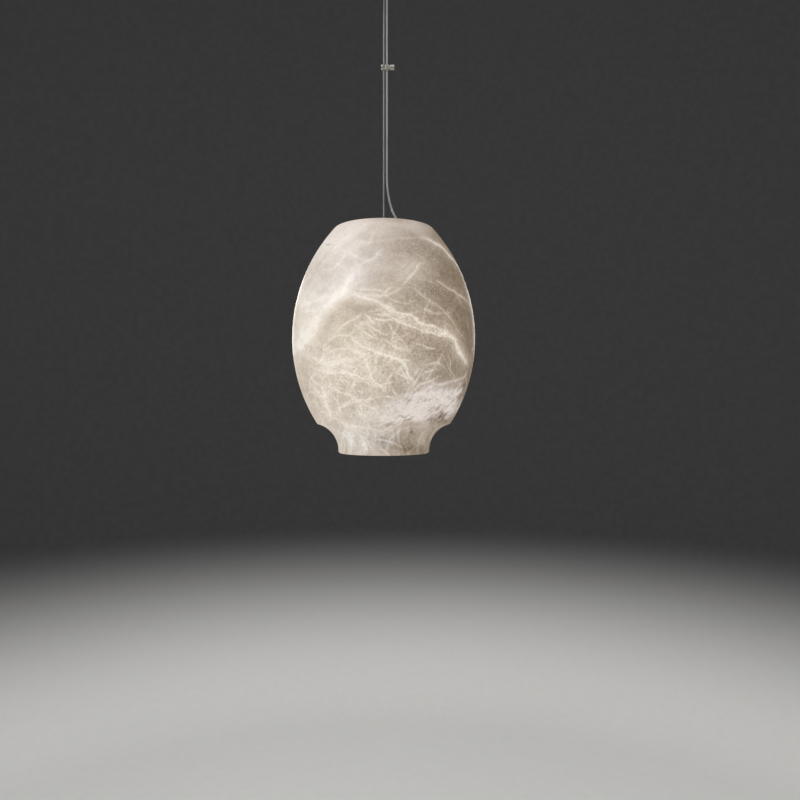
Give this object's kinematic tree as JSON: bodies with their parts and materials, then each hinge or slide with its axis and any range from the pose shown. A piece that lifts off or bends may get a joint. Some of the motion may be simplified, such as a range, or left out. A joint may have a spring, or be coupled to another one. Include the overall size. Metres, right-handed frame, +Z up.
{
  "type": "pendant light",
  "caption": "Pendant light: jar-shaped veined alabaster shade with a stepped open neck, hung on a steel cable with a power cord, a cord clip and a swivel canopy.",
  "frame": {"origin": "on the ceiling, at the middle of the bracket's upper face, above the cable", "axes": "+Z up, +X to the right in the picture along the clip's screw and the row of ceiling slots, +Y away from the camera"},
  "size_m": [0.2, 0.2, 0.5659],
  "materials": {
    "stone": "polished veined alabaster",
    "steel": "brushed",
    "zinc_steel": "zinc plated",
    "canopy_metal": "satin",
    "cable_steel": "stranded wire",
    "cord_plastic": "smooth sheath",
    "nickel": "satin nickel",
    "aluminium": "satin",
    "white_plastic": "moulded",
    "black_rubber": "matte",
    "felt": "pressed felt",
    "board": "white solder mask",
    "led": "phosphor",
    "components": "moulded",
    "frosted_glass": "frosted"
  },
  "bodies": {
    "ceiling": {"ceiling_bracket": "zinc_steel", "cup_posts": "zinc_steel", "swivel_cup": "nickel", "cup_screws": "zinc_steel", "supply_grommet": "black_rubber", "earth_washer": "zinc_steel", "earth_screw": "zinc_steel", "driver_case": "white_plastic", "driver_lid": "white_plastic", "driver_board": "board", "driver_components": "components", "input_terminal": "white_plastic", "output_terminal": "white_plastic", "terminal_screws": "zinc_steel", "driver_screws": "zinc_steel", "cover_screws": "nickel", "canopy_lead": "cord_plastic"},
    "cover": {"canopy_cover": "canopy_metal"},
    "liner": {"ball_liner": "white_plastic"},
    "ball": {"swivel_ball": "nickel"},
    "pendant": {"cable_plug": "nickel", "cord_grip_screw": "zinc_steel", "cable_top_stop": "zinc_steel", "suspension_cable": "cable_steel", "power_cord": "cord_plastic", "top_pad": "felt", "top_washer": "nickel", "stem_top_nut": "nickel", "cord_grommet": "black_rubber", "stem": "zinc_steel", "alabaster_shade": "stone", "inner_pad": "felt", "carrier_plate": "zinc_steel", "stem_lock_nut": "zinc_steel", "stop_washer": "zinc_steel", "cable_bottom_stop": "zinc_steel", "lamp_post": "aluminium", "post_screws": "zinc_steel", "post_o_ring": "black_rubber", "led_boards": "board", "led_chips": "led", "end_board": "board", "end_chips": "led", "led_connector": "white_plastic"},
    "diffuser": {"diffuser_glass": "frosted_glass", "diffuser_collar": "aluminium"},
    "clip": {"clip_body": "nickel"},
    "clip_knob": {"clip_screw": "nickel"}
  },
  "joints": [
    {"name": "swing_front", "type": "hinge", "parent": "ceiling", "child": "liner", "pos_m": [0, 0, -0.024], "axis": [1, 0, 0], "range_deg": [-10, 10], "deforming": ["canopy_lead"]},
    {"name": "swing_side", "type": "hinge", "parent": "liner", "child": "ball", "pos_m": [0, 0, -0.024], "axis": [0, 1, 0], "range_deg": [-10, 10], "deforming": ["canopy_lead"]},
    {"name": "shade_turn", "type": "hinge", "parent": "ball", "child": "pendant", "pos_m": [0, 0, -0.024], "axis": [0, 0, 1], "range_deg": [-170, 170], "deforming": ["canopy_lead"]},
    {"name": "cover_slide", "type": "slide", "parent": "ceiling", "child": "cover", "axis": [0, 0, 1], "range_m": [-0.045, 0]},
    {"name": "clip_slide", "type": "slide", "parent": "pendant", "child": "clip", "axis": [0, 0, 1], "range_m": [-0.11, 0.03]},
    {"name": "clip_screw_turn", "type": "hinge", "parent": "clip", "child": "clip_knob", "pos_m": [0, 0, -0.141], "axis": [1, 0, 0], "continuous": true},
    {"name": "diffuser_pull", "type": "slide", "parent": "pendant", "child": "diffuser", "axis": [0, 0, 1], "range_m": [-0.235, 0]}
  ]
}
